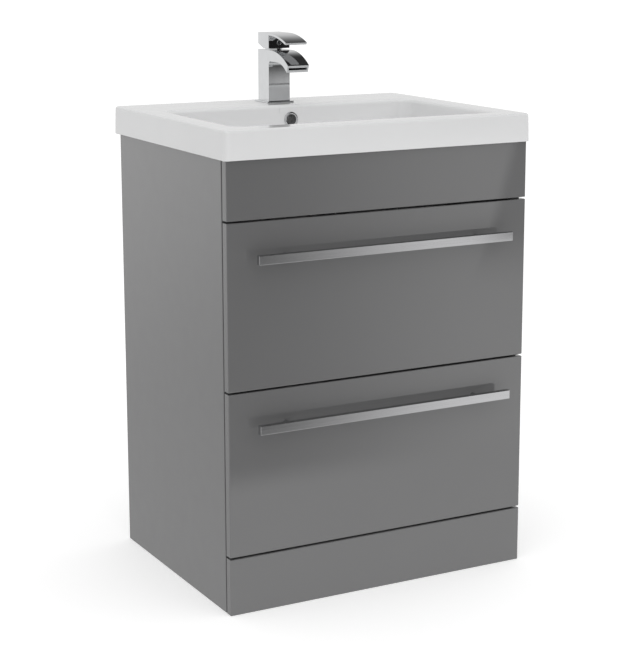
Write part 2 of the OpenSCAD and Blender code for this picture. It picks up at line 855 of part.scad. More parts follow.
// Side outline of the lever block and blade, in the YZ plane
module lever_outline() {
    block_back_y = column_back_y - 0.5;
    top_r = (lever_reach * lever_reach + lever_drop * lever_drop) / (2 * lever_drop);
    top_end = asin(lever_reach / top_r);
    centre = [column_front_y, lever_top_z - top_r];
    polygon(concat(
        [[block_back_y, lever_bottom_z + lever_back_h], [block_back_y, lever_top_z]],
        arc(centre, top_r, 90, 90 + top_end, 20),
        arc(centre, top_r - lever_blade_t, 90 + top_end, 90, 20),
        [[column_front_y, lever_bottom_z], [tap_y + 1, lever_bottom_z]]
    ));
}

module tap_lever() {
    color(chrome) difference() {
        across(tap_w) lever_outline();
        block([-lever_hollow_w / 2, tap_y - lever_hollow_d / 2, lever_bottom_z - 6],
              [lever_hollow_w / 2, tap_y + lever_hollow_d / 2, pivot_z + lever_hollow_d / 2]);
        bar_x(-pin_l / 2, tap_y, pivot_z, pin_r + 0.02, pin_l);
    }
}

module tap_lever_pin() {
    color(steel) bar_x(-pin_l / 2, tap_y, pivot_z, pin_r, pin_l);
}

module tap_indicator() {
    color(black) bar_y(0, column_front_y - indicator_t, indicator_z, indicator_r, indicator_t);
}

module tap_stud() {
    color(steel) translate([0, stud_y, rim_z - stud_l])
        cylinder(r = stud_r, h = stud_l + tap_plate_t + stud_in);
}

module tap_washer() {
    color(steel) translate([0, 0, rim_z - ledge_t - washer_t]) difference() {
        translate([0, tap_y, 0]) cylinder(r = washer_r, h = washer_t);
        translate([0, stud_y, -cut]) cylinder(r = stud_r + 0.3, h = washer_t + 2 * cut);
        block([-washer_gap_x, tap_y - 2, -cut],
              [washer_gap_x, tap_y + washer_r + 6, washer_t + cut]);
    }
}

module tap_nut() {
    color(brass) translate([0, stud_y, rim_z - ledge_t - washer_t - fixing_nut_t]) difference() {
        cylinder(r = fixing_nut_r, h = fixing_nut_t, $fn = 6);
        translate([0, 0, -cut]) cylinder(r = stud_r + 0.1, h = fixing_nut_t + 2 * cut);
    }
}

side_panel_left();
side_panel_right();
base_panel();
front_rail();
rear_top_rail();
rear_lower_rail();
fascia_panel();
plinth_panel();
plinth_brackets();
wall_brackets();
cam_locks();
cam_bolts();
panel_screws();
upper_drawer_front();
upper_drawer_side_left();
upper_drawer_side_right();
upper_drawer_base();
upper_drawer_back();
upper_trap_surround();
upper_handle_bar();
upper_handle_posts();
upper_handle_screws();
upper_bumpers();
upper_runner_cabinet_members();
upper_runner_middle_members();
upper_runner_drawer_members();
lower_drawer_front();
lower_drawer_side_left();
lower_drawer_side_right();
lower_drawer_base();
lower_drawer_back();
lower_handle_bar();
lower_handle_posts();
lower_handle_screws();
lower_bumpers();
lower_runner_cabinet_members();
lower_runner_middle_members();
lower_runner_drawer_members();
basin();
overflow_ring();
waste_body();
waste_plug();
waste_seal();
waste_nut();
trap_nuts();
trap_body();
trap_cup();
trap_outlet_pipe();
tap_base_plate();
tap_body();
tap_cartridge();
tap_cartridge_nut();
tap_spindle();
tap_lever();
tap_lever_pin();
tap_indicator();
tap_stud();
tap_washer();
tap_nut();
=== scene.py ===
import json
import math

import bmesh
import bpy
from mathutils import Matrix, Vector


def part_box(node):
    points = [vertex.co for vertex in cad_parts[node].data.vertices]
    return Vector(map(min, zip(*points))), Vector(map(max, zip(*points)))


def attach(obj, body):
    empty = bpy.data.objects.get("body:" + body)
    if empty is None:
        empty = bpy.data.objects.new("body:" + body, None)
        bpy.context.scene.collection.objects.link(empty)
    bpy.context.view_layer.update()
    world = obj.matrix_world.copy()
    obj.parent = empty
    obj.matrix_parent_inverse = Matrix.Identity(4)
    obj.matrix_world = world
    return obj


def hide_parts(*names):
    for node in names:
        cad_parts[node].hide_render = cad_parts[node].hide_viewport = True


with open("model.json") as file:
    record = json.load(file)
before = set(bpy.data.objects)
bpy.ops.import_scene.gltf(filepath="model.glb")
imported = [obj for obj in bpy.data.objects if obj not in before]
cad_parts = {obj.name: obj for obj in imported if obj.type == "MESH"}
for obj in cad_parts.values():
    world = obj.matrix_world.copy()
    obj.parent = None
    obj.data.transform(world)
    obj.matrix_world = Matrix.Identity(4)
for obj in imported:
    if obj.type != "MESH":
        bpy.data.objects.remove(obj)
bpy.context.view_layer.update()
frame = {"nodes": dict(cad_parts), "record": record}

MM = 0.001

# ---- camera ----

CAMERA_PLACE = Vector((-1.525, -2.829, 1.160))
CAMERA_YAW = math.radians(28.70)
CAMERA_DOWN = math.radians(11.31)
CAMERA_LENS = 97.35
CAMERA_SHIFT = (-0.017, -0.06)


def make_camera():
    data = bpy.data.cameras.new("camera")
    data.lens = CAMERA_LENS
    data.sensor_width = 36
    data.shift_x, data.shift_y = CAMERA_SHIFT
    data.clip_end = 100
    camera = bpy.data.objects.new("camera", data)
    camera.location = CAMERA_PLACE
    camera.rotation_euler = (math.pi / 2 - CAMERA_DOWN, 0, -CAMERA_YAW)
    bpy.context.scene.collection.objects.link(camera)
    bpy.context.scene.camera = camera


make_camera()
bpy.context.scene.view_settings.view_transform = "Standard"

# ---- materials ----


class Shader:
    """A node material built around one Principled shader."""

    def __init__(self, name):
        self.material = bpy.data.materials.new(name)
        self.material.use_nodes = True
        self.tree = self.material.node_tree
        self.principled = self.tree.nodes["Principled BSDF"]
        self.coords = self.tree.nodes.new("ShaderNodeTexCoord").outputs["Object"]

    def set(self, **values):
        for name, value in values.items():
            self.principled.inputs[name.replace("_", " ")].default_value = value

    def node(self, kind, **settings):
        made = self.tree.nodes.new(kind)
        for name, value in settings.items():
            setattr(made, name, value)
        return made

    def link(self, start, end):
        self.tree.links.new(start, end)

    def noise(self, scale, detail=2.0, stretch=(1, 1, 1), roughness=0.5):
        """Noise in object space: scale is in cells per metre."""
        mapping = self.node("ShaderNodeMapping")
        mapping.inputs["Scale"].default_value = stretch
        self.link(self.coords, mapping.inputs["Vector"])
        made = self.node("ShaderNodeTexNoise")
        made.inputs["Scale"].default_value = scale
        made.inputs["Detail"].default_value = detail
        made.inputs["Roughness"].default_value = roughness
        self.link(mapping.outputs["Vector"], made.inputs["Vector"])
        return made.outputs["Fac"]

    def remap(self, value, low, high, start=0.3, end=0.7):
        """Maps start..end of a value to low..high."""
        made = self.node("ShaderNodeMapRange")
        for name, number in (("From Min", start), ("From Max", end), ("To Min", low), ("To Max", high)):
            made.inputs[name].default_value = number
        self.link(value, made.inputs["Value"])
        return made.outputs["Result"]

    def mix(self, factor, first, second):
        made = self.node("ShaderNodeMix", data_type="RGBA")
        self.link(factor, made.inputs["Factor"])
        for socket, colour in ((made.inputs[6], first), (made.inputs[7], second)):
            if isinstance(colour, tuple):
                socket.default_value = (*colour, 1)
            else:
                self.link(colour, socket)
        return made.outputs[2]

    def bump(self, height, strength, distance, before=None):
        made = self.node("ShaderNodeBump")
        made.inputs["Strength"].default_value = strength
        made.inputs["Distance"].default_value = distance
        self.link(height, made.inputs["Height"])
        if before:
            self.link(before, made.inputs["Normal"])
        self.link(made.outputs["Normal"], self.principled.inputs["Normal"])
        return made.outputs["Normal"]

    def edges(self, low=0.51, high=0.56):
        """1 on sharp outer edges, 0 on flat faces."""
        geometry = self.node("ShaderNodeNewGeometry")
        return self.remap(geometry.outputs["Pointiness"], 0, 1, low, high)


def shade(colour, factor):
    return tuple(min(1.0, c * factor) for c in colour)


def varied(shader, colour, spread, scale, edge=1.0, stretch=(1, 1, 1), detail=3.0):
    """Gives the base colour a soft mottle, and makes the edges lighter or darker."""
    patches = shader.remap(shader.noise(scale, detail, stretch), 0, 1)
    base = shader.mix(patches, shade(colour, 1 - spread), shade(colour, 1 + spread))
    if edge != 1.0:
        base = shader.mix(shader.edges(), base, shade(colour, edge))
    shader.link(base, shader.principled.inputs["Base Color"])


def rough(shader, low, high, scale, stretch=(1, 1, 1), detail=3.0):
    value = shader.remap(shader.noise(scale, detail, stretch), low, high)
    shader.link(value, shader.principled.inputs["Roughness"])


def grey_lacquer():
    """Sprayed high-gloss lacquer: a mirror coat over a mid grey, with faint orange peel."""
    made = Shader("grey_lacquer")
    made.set(Coat_Weight=1.0, Coat_Roughness=0.015, Coat_IOR=1.65, Specular_IOR_Level=0.15)
    varied(made, (0.137, 0.137, 0.1385), 0.008, 4.0)
    rough(made, 0.37, 0.42, 30)
    peel = made.noise(170, 1.0)
    bumped = made.bump(peel, 0.03, 0.1 * MM)
    made.link(bumped, made.principled.inputs["Coat Normal"])
    return made.material


def carcass_board():
    """Melamine-faced board: a fine leathery emboss and a slight mottle."""
    made = Shader("carcass_board")
    made.set(Specular_IOR_Level=0.4)
    varied(made, (0.25, 0.25, 0.252), 0.05, 260)
    rough(made, 0.42, 0.55, 80)
    made.bump(made.noise(1400, 3.0), 0.25, 0.05 * MM)
    return made.material


def ceramic():
    """White glazed vitreous china, with a slight wave in the glaze."""
    made = Shader("ceramic")
    made.set(Coat_Weight=0.35, Coat_Roughness=0.10, Coat_IOR=1.45, Specular_IOR_Level=0.3)
    varied(made, (0.815, 0.817, 0.82), 0.008, 9.0)
    rough(made, 0.10, 0.17, 45)
    bumped = made.bump(made.noise(22, 1.5), 0.03, 0.6 * MM)
    made.link(bumped, made.principled.inputs["Coat Normal"])
    return made.material


def chrome():
    """Polished chrome plate with the faintest wipe marks."""
    made = Shader("chrome")
    made.set(Metallic=1.0)
    varied(made, (0.625, 0.632, 0.64), 0.02, 60)
    rough(made, 0.015, 0.04, 120, (1, 1, 0.2))
    made.bump(made.noise(90, 1.0), 0.03, 0.05 * MM)
    return made.material


def satin_steel():
    """Brushed bar: the grain runs along the handle."""
    made = Shader("satin_steel")
    made.set(Metallic=1.0, Anisotropic=0.4)
    varied(made, (0.52, 0.52, 0.527), 0.03, 900, stretch=(0.012, 1, 1))
    rough(made, 0.06, 0.11, 1400, (0.01, 1, 1))
    made.bump(made.noise(2200, 2.0, (0.006, 1, 1)), 0.03, 0.02 * MM)
    return made.material


def zinc_steel():
    """Zinc-plated pressed steel with a cloudy bluish cast."""
    made = Shader("zinc_steel")
    made.set(Metallic=1.0)
    varied(made, (0.58, 0.60, 0.62), 0.10, 70, edge=1.15)
    rough(made, 0.26, 0.42, 120)
    made.bump(made.noise(500, 2.0), 0.10, 0.05 * MM)
    return made.material


def white_plastic():
    made = Shader("white_plastic")
    made.set(Specular_IOR_Level=0.5)
    varied(made, (0.80, 0.80, 0.79), 0.015, 14)
    rough(made, 0.26, 0.38, 60)
    made.bump(made.noise(900, 2.0), 0.08, 0.05 * MM)
    return made.material


def dark_plastic():
    made = Shader("dark_plastic")
    varied(made, (0.018, 0.019, 0.021), 0.2, 200, edge=1.5)
    rough(made, 0.35, 0.5, 200)
    made.bump(made.noise(1200, 2.0), 0.15, 0.05 * MM)
    return made.material


def clear_bumper():
    made = Shader("clear_bumper")
    made.set(Transmission_Weight=0.5, IOR=1.45)
    varied(made, (0.85, 0.86, 0.87), 0.03, 300)
    rough(made, 0.25, 0.4, 300)
    made.bump(made.noise(900, 2.0), 0.1, 0.05 * MM)
    return made.material


def black_rubber():
    made = Shader("black_rubber")
    varied(made, (0.020, 0.020, 0.021), 0.15, 150, edge=1.6)
    rough(made, 0.6, 0.8, 200)
    made.bump(made.noise(1100, 3.0), 0.3, 0.08 * MM)
    return made.material


def brass():
    made = Shader("brass")
    made.set(Metallic=1.0)
    varied(made, (0.72, 0.58, 0.33), 0.10, 90, edge=1.2)
    rough(made, 0.25, 0.42, 150)
    made.bump(made.noise(700, 2.0), 0.12, 0.05 * MM)
    return made.material


MATERIALS = {
    make.__name__: make()
    for make in (grey_lacquer, carcass_board, ceramic, chrome, satin_steel, zinc_steel, white_plastic,
                 dark_plastic, clear_bumper, black_rubber, brass)
}
SLOT_OF = {part["node"]: part["material_slot"] for part in frame["record"]["subparts"]}

# ---- the CAD's own nodes ----

EDGE_RADIUS = {
    "grey_lacquer": 1.1 * MM, "carcass_board": 0.4 * MM, "zinc_steel": 0.25 * MM, "chrome": 0.4 * MM,
    "satin_steel": 0.4 * MM, "white_plastic": 0.6 * MM, "brass": 0.4 * MM, "black_rubber": 0.5 * MM,
    "clear_bumper": 0.6 * MM, "dark_plastic": 0.3 * MM, "ceramic": 1.0 * MM,
}
SHARP = math.radians(32)


def flat_normals(obj):
    """Keeps large flats flat where they run into a rounded edge."""
    made = obj.modifiers.new("normals", "WEIGHTED_NORMAL")
    made.keep_sharp = True
    made.weight = 100
    return obj


def soften(obj, width):
    """Welds the split edges of a mesh, joins its flat triangles and rounds its sharp edges.

    Weighted normals then keep the flats flat."""
    weld = obj.modifiers.new("weld", "WELD")
    weld.merge_threshold = 1e-6
    flats = obj.modifiers.new("flats", "DECIMATE")
    flats.decimate_type = "DISSOLVE"
    flats.angle_limit = math.radians(0.3)
    bevel = obj.modifiers.new("edge", "BEVEL")
    bevel.use_clamp_overlap = False
    bevel.width = width
    bevel.segments = 3
    bevel.limit_method = "ANGLE"
    bevel.angle_limit = SHARP
    flat_normals(obj)


def dress_cad_nodes():
    for name, obj in frame["nodes"].items():
        slot_name = SLOT_OF[name]
        obj.data.materials.clear()
        obj.data.materials.append(MATERIALS[slot_name])
        soften(obj, EDGE_RADIUS[slot_name])


# ---- mesh helpers ----


def piece(name, points, faces, body, slot_name, *replaced):
    """A new mesh that rides on a body and stands for the CAD nodes it replaces."""
    mesh = bpy.data.meshes.new(name)
    mesh.from_pydata(points, [], faces)
    bm = bmesh.new()
    bm.from_mesh(mesh)
    bmesh.ops.recalc_face_normals(bm, faces=bm.faces)
    bm.to_mesh(mesh)
    bm.free()
    mesh.shade_smooth()
    mesh.set_sharp_from_angle(angle=SHARP)
    mesh.materials.append(MATERIALS[slot_name])
    obj = bpy.data.objects.new(name, mesh)
    bpy.context.scene.collection.objects.link(obj)
    if body:
        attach(obj, body)
    if replaced:
        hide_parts(*replaced)
    return obj


def round_edges(obj, width, segments=3):
    bevel = obj.modifiers.new("edge", "BEVEL")
    bevel.width = width
    bevel.segments = segments
    bevel.limit_method = "ANGLE"
    bevel.angle_limit = SHARP
    return flat_normals(obj)


def carve(obj, tool, operation="DIFFERENCE"):
    """Cuts a tool mesh out of obj, or joins it on, and throws the tool away."""
    cut = obj.modifiers.new("cut", "BOOLEAN")
    cut.operation = operation
    cut.solver = "EXACT"
    cut.object = tool
    depsgraph = bpy.context.evaluated_depsgraph_get()
    mesh = bpy.data.meshes.new_from_object(obj.evaluated_get(depsgraph))
    obj.modifiers.remove(cut)
    obj.data = mesh
    mesh.shade_smooth()
    mesh.set_sharp_from_angle(angle=SHARP)
    bpy.data.objects.remove(tool)
    return obj


def rounded(corners, steps=5):
    """A closed outline from corners (a, b, radius), each rounded by an arc."""
    outline = []
    count = len(corners)
    for i, (a, b, radius) in enumerate(corners):
        here = Vector((a, b))
        if not radius:
            outline.append((a, b))
            continue
        back = Vector(corners[i - 1][:2]) - here
        ahead = Vector(corners[(i + 1) % count][:2]) - here
        half = back.angle(ahead) / 2
        reach = min(radius / math.tan(half), back.length * 0.49, ahead.length * 0.49)
        start = here + back.normalized() * reach
        end = here + ahead.normalized() * reach
        centre = here + (back.normalized() + ahead.normalized()).normalized() * reach / math.cos(half)
        first, last = start - centre, end - centre
        turn = first.angle_signed(last)
        for k in range(steps + 1):
            spun = first.copy()
            spun.rotate(Matrix.Rotation(-turn * k / steps, 2))
            outline.append(tuple(centre + spun))
    return outline


def lathe(name, outline, place, body, slot_name, *replaced, segments=96):
    """Turns a closed outline of (radius, height) round +Z, then moves it to its place."""
    points, rows = [], []
    for radius, height in outline:
        if radius < 1e-7:
            rows.append([len(points)] * segments)
            points.append(place @ Vector((0, 0, height)))
            continue
        rows.append(range(len(points), len(points) + segments))
        for k in range(segments):
            turn = 2 * math.pi * k / segments
            points.append(place @ Vector((radius * math.cos(turn), radius * math.sin(turn), height)))
    faces = []
    for row, after in zip(rows, rows[1:] + rows[:1]):
        if row[0] == row[1] and after[0] == after[1]:
            continue
        for k in range(segments):
            corners = [row[k], row[(k + 1) % segments], after[(k + 1) % segments], after[k]]
            faces.append(list(dict.fromkeys(corners)))
    return flat_normals(piece(name, points, faces, body, slot_name, *replaced))


def prism(name, outline, low_x, high_x, body, slot_name, *replaced):
    """An outline of (y, z) made solid between two values of x."""
    count = len(outline)
    points = [(low_x, y, z) for y, z in outline] + [(high_x, y, z) for y, z in outline]
    faces = [list(range(count)), list(range(2 * count - 1, count - 1, -1))]
    faces += [[i, (i + 1) % count, (i + 1) % count + count, i + count] for i in range(count)]
    return piece(name, points, faces, body, slot_name, *replaced)


def brick(name, low, high):
    """A plain box to cut with."""
    outline = [(low[1], low[2]), (high[1], low[2]), (high[1], high[2]), (low[1], high[2])]
    return prism(name, outline, low[0], high[0], None, "ceramic")


def drill(radius, low, high, place, slot_name, segments=96):
    """A plain round bar to cut with, from low to high along its own +Z."""
    return lathe("drill", [(0, low), (radius, low), (radius, high), (0, high)], place, None, slot_name,
                 segments=segments)


def arc(centre, radius, start, end, steps):
    angles = [math.radians(start + (end - start) * k / steps) for k in range(steps + 1)]
    return [(centre[0] + radius * math.cos(a), centre[1] + radius * math.sin(a)) for a in angles]


def at(x, y, z):
    return Matrix.Translation((x, y, z))


# ---- basin ----

RIM_FRONT = 48 * MM
BOWL_HALF_W = 260 * MM
BOWL_HALF_D = 153 * MM
SKIRT = 18 * MM
LEDGE = 12 * MM
CERAMIC = 10 * MM
CORNER_STEPS = 8
LONG_STEPS = 24
SHORT_STEPS = 14
WASTE_BEHIND_MIDDLE = 20 * MM
OVERFLOW_BELOW_RIM = 28 * MM
WALL_SLOPE_X = 15 / 109
WALL_SLOPE_Y = 11 / 109
OUTER_CORNER = 9 * MM
OUTER_EDGE = 5 * MM
LIP = 7 * MM
BOWL_CORNER = 22 * MM
FLOOR_BEND = 24 * MM
FLOOR_DEPTH = 118 * MM
SEAT_DEPTH = 123 * MM
SEAT_R = 33 * MM
WASTE_HOLE_R = 23 * MM
BOSS_R = 38 * MM
FOOT_EDGE = 1.5 * MM
CHANNEL_HALF_W = 14 * MM
CHANNEL_BACK = 26 * MM
OVERFLOW_HOLE_R = 10.5 * MM
TAP_HOLE_R = 17.5 * MM


def oblong(half_w, half_d, radius, mid_y, z):
    """One level of the basin: a rectangle with round corners."""
    radius = min(radius, half_w, half_d)
    centres = [(half_w - radius, half_d - radius), (-half_w + radius, half_d - radius),
               (-half_w + radius, -half_d + radius), (half_w - radius, -half_d + radius)]
    sides = [LONG_STEPS, SHORT_STEPS, LONG_STEPS, SHORT_STEPS]
    points = []
    for quarter, (x, y) in enumerate(centres):
        bend = arc((x, y), radius, 90 * quarter, 90 * quarter + 90, CORNER_STEPS)
        end_x, end_y = bend[-1]
        next_x, next_y = centres[(quarter + 1) % 4]
        turn = math.radians(90 * quarter + 90)
        to_x, to_y = next_x + radius * math.cos(turn), next_y + radius * math.sin(turn)
        points += bend
        for k in range(1, sides[quarter]):
            t = k / sides[quarter]
            points.append((end_x + (to_x - end_x) * t, end_y + (to_y - end_y) * t))
    return [(x, y + mid_y, z) for x, y in points]


def circle_like(level, radius, mid_y, z):
    """A circle whose points lie in step with another level's points."""
    half_w = max(abs(p[0]) for p in level)
    low_y, high_y = min(p[1] for p in level), max(p[1] for p in level)
    middle, half_d = (low_y + high_y) / 2, (high_y - low_y) / 2
    turns = [math.atan2((y - middle) / half_d, x / half_w) for x, y, _ in level]
    return [(radius * math.cos(t), mid_y + radius * math.sin(t), z) for t in turns]


def between(first, second, t, height):
    """A level part of the way from one to another, at its own share of the height."""
    return [(a[0] + (b[0] - a[0]) * t, a[1] + (b[1] - a[1]) * t, a[2] + (b[2] - a[2]) * height)
            for a, b in zip(first, second)]


def basin_levels(low, high, skirt_z, bowl_y, waste_y):
    """The levels of the basin's surface, from the skirt's foot over the rim, down the bowl and back below."""
    rim_z = high.z
    outer_y = (low.y + high.y) / 2
    half_w, half_d = high.x, (high.y - low.y) / 2

    def outer(inset, z):
        return oblong(half_w - inset, half_d - inset, OUTER_CORNER - inset * 0.6, outer_y, z)

    def bowl(inset_x, inset_y, radius, z):
        return oblong(BOWL_HALF_W - inset_x, BOWL_HALF_D - inset_y, radius, bowl_y, z)

    # The foot and the outside, then the rounded outer edge of the rim
    levels = [outer(FOOT_EDGE * (1 - math.sin(a)), skirt_z + FOOT_EDGE * (1 - math.cos(a)))
              for a in (0, math.pi / 6, math.pi / 3, math.pi / 2)]
    levels.append(outer(0.6 * MM, (skirt_z + rim_z) / 2))
    for k in range(7):
        a = math.pi / 2 * k / 6
        levels.append(outer(1.3 * MM + OUTER_EDGE * (1 - math.cos(a)),
                            rim_z - OUTER_EDGE + OUTER_EDGE * math.sin(a)))

    # The rounded lip of the bowl, its walls, and the bend into its floor
    for k in range(9):
        a = math.pi / 2 * k / 8
        out = LIP * (1 - math.sin(a))
        drop = LIP * (1 - math.cos(a))
        levels.append(bowl(-out + drop * WALL_SLOPE_X, -out + drop * WALL_SLOPE_Y, BOWL_CORNER + out,
                           rim_z - drop))
    floor_z = rim_z - FLOOR_DEPTH
    bend_z = floor_z + FLOOR_BEND
    for k in range(1, 4):
        drop = LIP + (rim_z - bend_z - LIP) * k / 3
        levels.append(bowl(drop * WALL_SLOPE_X, drop * WALL_SLOPE_Y, BOWL_CORNER + 4 * k * MM, rim_z - drop))
    start = rim_z - bend_z
    for k in range(1, 9):
        a = math.pi / 2 * k / 8
        inset = FLOOR_BEND * (1 - math.cos(a))
        levels.append(bowl(start * WALL_SLOPE_X + inset, start * WALL_SLOPE_Y + inset,
                           34 * MM + inset * 0.5, bend_z - FLOOR_BEND * math.sin(a)))

    # The floor falls to the waste, whose seat and hole end in a boss below
    edge_level = levels[-1]
    drain_z = floor_z - 2 * MM
    drain = circle_like(edge_level, SEAT_R + 0.6 * MM, waste_y, drain_z)
    levels += [between(edge_level, drain, k / 8, 1 - (1 - k / 8) ** 2) for k in range(1, 8)]
    levels.append(drain)
    seat_z = rim_z - SEAT_DEPTH
    for radius, z in ((SEAT_R, drain_z - 0.6 * MM), (SEAT_R, seat_z), (WASTE_HOLE_R, seat_z),
                      (WASTE_HOLE_R, low.z), (BOSS_R - MM, low.z), (BOSS_R, low.z + MM),
                      (BOSS_R, seat_z - 5 * MM)):
        levels.append(circle_like(edge_level, radius, waste_y, z))

    # The underside, back out to the foot
    under = [
        bowl(34 * MM, 30 * MM, 40 * MM, floor_z - CERAMIC),
        bowl(16 * MM, 12 * MM, 40 * MM, floor_z + 4 * MM - CERAMIC),
        bowl(6 * MM, 2 * MM, 36 * MM, bend_z - 4 * MM),
        bowl(-CERAMIC + LEDGE * WALL_SLOPE_X, -CERAMIC + LEDGE * WALL_SLOPE_Y, 32 * MM, rim_z - LEDGE),
        outer(SKIRT, rim_z - LEDGE),
        outer(SKIRT, skirt_z + FOOT_EDGE),
        outer(SKIRT - FOOT_EDGE, skirt_z),
    ]
    return levels + under


def make_basin():
    low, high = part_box("basin")
    skirt_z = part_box("side_panel_left")[1].z
    bowl_y = low.y + RIM_FRONT + BOWL_HALF_D
    waste_y = bowl_y + WASTE_BEHIND_MIDDLE
    levels = basin_levels(low, high, skirt_z, bowl_y, waste_y)
    count = len(levels[0])
    points = [p for level in levels for p in level]
    faces = []
    for row in range(len(levels)):
        after = (row + 1) % len(levels)
        for k in range(count):
            side = (k + 1) % count
            faces.append([row * count + k, row * count + side, after * count + side, after * count + k])
    basin = piece("basin_ceramic", points, faces, "carcass", "ceramic", "basin")

    overflow_z = high.z - OVERFLOW_BELOW_RIM
    back_y = bowl_y + BOWL_HALF_D
    wall_x = CHANNEL_HALF_W + CERAMIC
    carve(basin, brick("channel", (-wall_x, back_y - 2 * MM, low.z + 3 * MM),
                       (wall_x, back_y + CHANNEL_BACK + 2 * MM, high.z - LEDGE / 2)), "UNION")
    carve(basin, brick("channel_inside", (-CHANNEL_HALF_W, back_y + CERAMIC, low.z + 8 * MM),
                       (CHANNEL_HALF_W, back_y + CHANNEL_BACK, overflow_z + 12 * MM)))
    carve(basin, drill(OVERFLOW_HOLE_R, -16 * MM, 12 * MM, overflow_place(), "ceramic"))
    tap_y = sum(v.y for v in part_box("tap_base_plate")) / 2
    carve(basin, drill(TAP_HOLE_R, -30 * MM, 30 * MM, at(0, tap_y, high.z), "ceramic"))
    flat_normals(basin)


def overflow_place():
    """The middle of the overflow on the bowl's back wall, with +Z pointing out of the wall."""
    low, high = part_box("basin")
    back_y = low.y + RIM_FRONT + 2 * BOWL_HALF_D
    y = back_y - WALL_SLOPE_Y * OVERFLOW_BELOW_RIM
    tilt = Matrix.Rotation(math.pi / 2 - math.atan(WALL_SLOPE_Y), 4, "X")
    return at(0, y, high.z - OVERFLOW_BELOW_RIM) @ tilt


def make_overflow_ring():
    inner, sleeve, flange, sleeve_l = 9.8 * MM, 10.4 * MM, 14.3 * MM, 12 * MM
    outline = rounded([
        (inner, -sleeve_l, 0), (sleeve, -sleeve_l, 0), (sleeve, 0.4 * MM, 0),
        (flange, 0.4 * MM, 0.3 * MM), (flange, 1.4 * MM, 1.2 * MM), (12.2 * MM, 3.2 * MM, 2.0 * MM),
        (inner, 2.2 * MM, 1.2 * MM)], 6)
    lathe("overflow_chrome_ring", outline, overflow_place(), "carcass", "chrome", "overflow_ring")


def make_waste_plug():
    low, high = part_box("waste_plug")
    centre_y = (low.y + high.y) / 2
    top = high.z - low.z
    stem_r, disc_r, stem = 4 * MM, 28 * MM, 48.3 * MM
    outline = rounded([
        (0, 0, 0), (stem_r, 0, 0.6 * MM), (stem_r, stem, 0), (disc_r - 2 * MM, stem, 0.4 * MM),
        (disc_r, stem + MM, 0.8 * MM), (disc_r, stem + 2.3 * MM, 1.2 * MM),
        (disc_r - 4 * MM, stem + 3.9 * MM, 8 * MM), (0, top, 0)], 6)
    lathe("waste_plug_cap", outline, at(0, centre_y, low.z), "waste_plug", "chrome", "waste_plug")


# ---- tap ----

SPOUT_T = 21 * MM
SPOUT_CREST_IN = 8 * MM
SPOUT_DROP = 24.7 * MM
ARCH_CREST_IN = 33 * MM
ARCH_DROP = 16.8 * MM
TIP_L = 5 * MM
THROAT_R = 7 * MM
SHADING_STRIP = MM
OUTLET_W = 38 * MM
OUTLET_H = 4.2 * MM
OUTLET_START = 6 * MM
OUTLET_L = 16 * MM
OUTLET_IN = 2.4 * MM
OUTLET_DROP = 31.2 * MM
OUTLET_TILT = math.radians(21 - 90)
CARTRIDGE_R = 16.1 * MM
CARTRIDGE_L = 38 * MM
INLET_X = 8 * MM
INLET_BEHIND = 4 * MM
INLET_R = 4.5 * MM
INLET_L = 16 * MM
STUD_AHEAD = 8 * MM
STUD_R = 4.1 * MM
STUD_L = 14 * MM
LEVER_DROP = 14.8 * MM
LEVER_BLADE = 4.5 * MM
LEVER_BACK = 8 * MM
PIN_R = 2 * MM
HOLLOW_HALF_W = 5.5 * MM
HOLLOW_HALF_D = 9 * MM
PAST = 2 * MM


def crest(mid, top_z, reach, drop):
    """Half of a crown: level at mid, falling by drop at reach in front of it.

    Returns its centre, its radius and the angle where it ends."""
    radius = (reach * reach + drop * drop) / (2 * drop)
    return (mid, top_z - radius), radius, 90 + math.degrees(math.asin(reach / radius))


def make_tap_body():
    low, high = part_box("tap_body")
    width = high.x - low.x
    front_y = high.y - width
    tip_y = low.y
    top_y = front_y - SPOUT_CREST_IN
    top, top_r, top_end = crest(top_y, high.z, top_y - tip_y, SPOUT_DROP)
    under_z = high.z - SPOUT_T
    under_y = front_y - ARCH_CREST_IN
    under, under_r, under_end = crest(under_y, under_z, under_y - TIP_L - tip_y, ARCH_DROP)
    throat_z = under_z - THROAT_R
    outline = [(high.y, low.z), (high.y, high.z)]
    outline += arc(top, top_r, 90, top_end, 28)
    outline += arc(under, under_r, under_end, 90, 20)
    outline += arc((front_y - THROAT_R, throat_z), THROAT_R, 90, 0, 8)
    # A thin strip at each end keeps the shading of the tall front face flat
    outline += [(front_y, throat_z - SHADING_STRIP), (front_y, low.z + SHADING_STRIP), (front_y, low.z)]
    body = prism("tap_column_and_spout", outline, low.x, high.x, "carcass", "chrome", "tap_body")

    outlet = brick("outlet", (-OUTLET_W / 2, -OUTLET_H / 2, -OUTLET_START),
                   (OUTLET_W / 2, OUTLET_H / 2, OUTLET_L))
    mouth = at(0, tip_y + OUTLET_IN, high.z - OUTLET_DROP)
    outlet.data.transform(mouth @ Matrix.Rotation(OUTLET_TILT, 4, "X"))
    carve(body, outlet)
    middle_y = high.y - width / 2
    carve(body, drill(CARTRIDGE_R, -CARTRIDGE_L, PAST, at(0, middle_y, high.z), "chrome"))
    for x in (-INLET_X, INLET_X):
        carve(body, drill(INLET_R, -PAST, INLET_L, at(x, middle_y + INLET_BEHIND, low.z), "chrome", 32))
    carve(body, drill(STUD_R, -PAST, STUD_L, at(0, middle_y - STUD_AHEAD, low.z), "chrome", 32))
    round_edges(body, 0.6 * MM)


